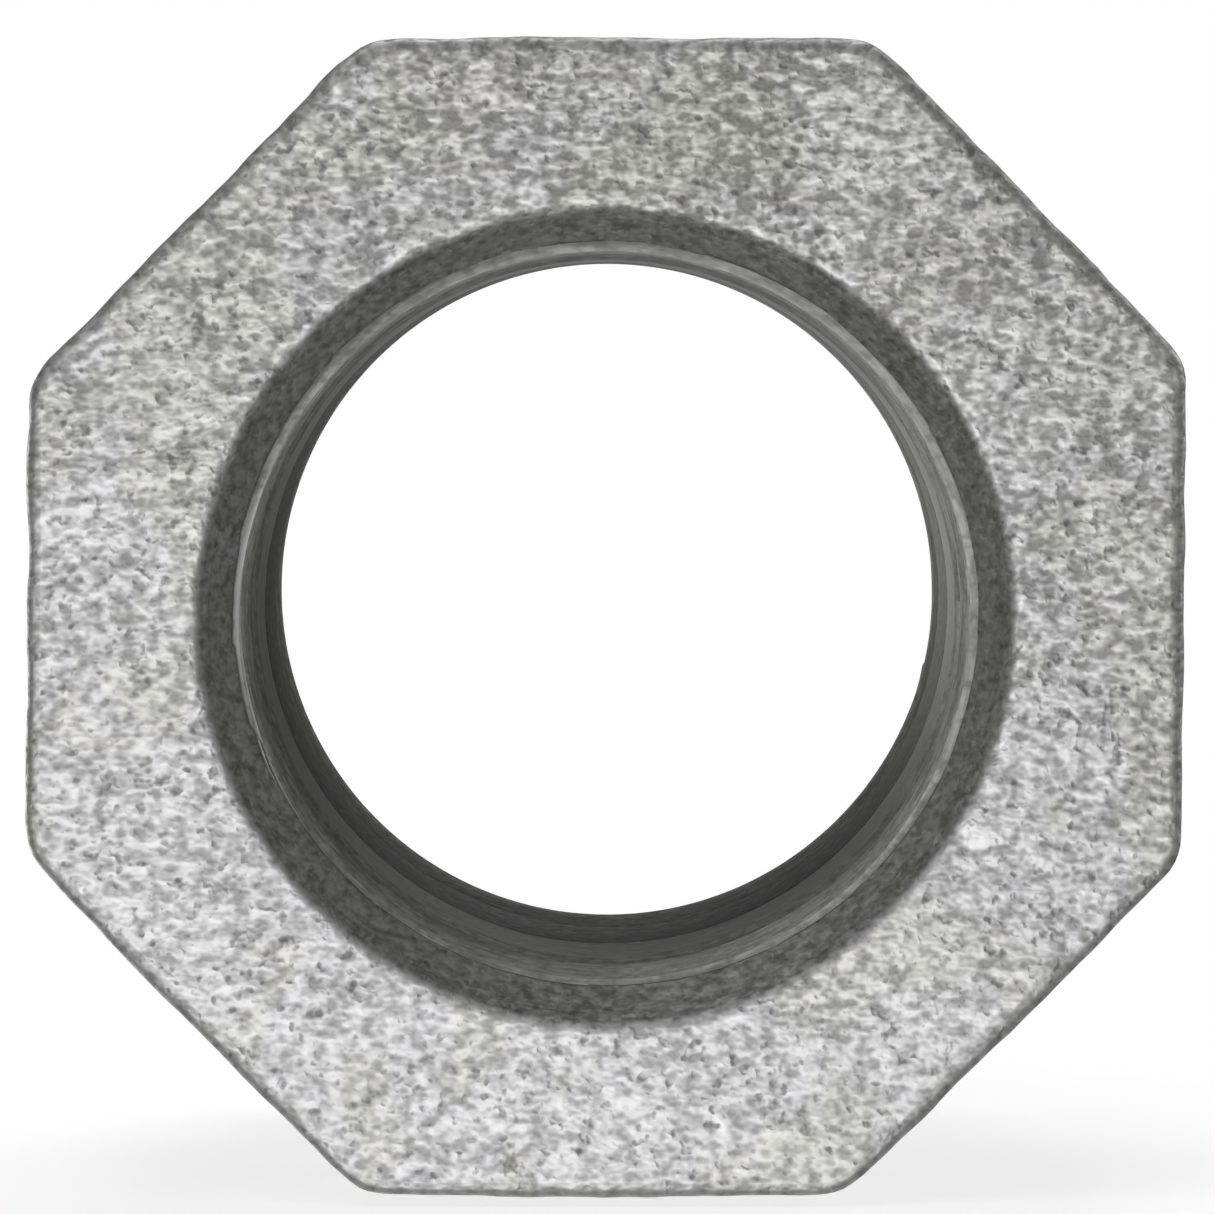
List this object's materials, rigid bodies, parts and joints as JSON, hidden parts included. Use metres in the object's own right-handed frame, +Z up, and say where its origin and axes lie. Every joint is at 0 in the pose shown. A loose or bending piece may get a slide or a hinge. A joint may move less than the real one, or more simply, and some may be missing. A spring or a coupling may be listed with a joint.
{
  "type": "pipe union",
  "caption": "Ground-joint pipe union: octagonal head with a threaded mouth, octagonal ring nut, and a threaded tail that the nut draws against the head's brass seat.",
  "frame": {"origin": "on the bore axis, halfway between the two end faces of the closed union", "axes": "+Y along the bore from the head's face to the tail's face, +Z up through the middle of a flat, +X to the right as seen facing the head"},
  "size_m": [0.0904, 0.082, 0.0904],
  "materials": {
    "galvanised_iron": "hot-dip galvanised casting, matt with a mottled grain",
    "seat_brass": "turned and ground"
  },
  "bodies": {
    "head": {"head_piece": "galvanised_iron", "seat_ring": "seat_brass"},
    "tail": {"tail_piece": "galvanised_iron"},
    "nut": {"union_nut": "galvanised_iron"}
  },
  "joints": [
    {"name": "tail_slide", "type": "slide", "parent": "head", "child": "tail", "axis": [0, 1, 0], "range_m": [0, 0.01386]},
    {"name": "nut_spin", "type": "hinge", "parent": "tail", "child": "nut", "pos_m": [0, 0, 0], "axis": [0, 1, 0], "range_deg": [0, 2160]}
  ],
  "couplings": [
    {"joint": "tail_slide", "follows": "nut_spin", "m_per_rad": 0.0003675}
  ]
}
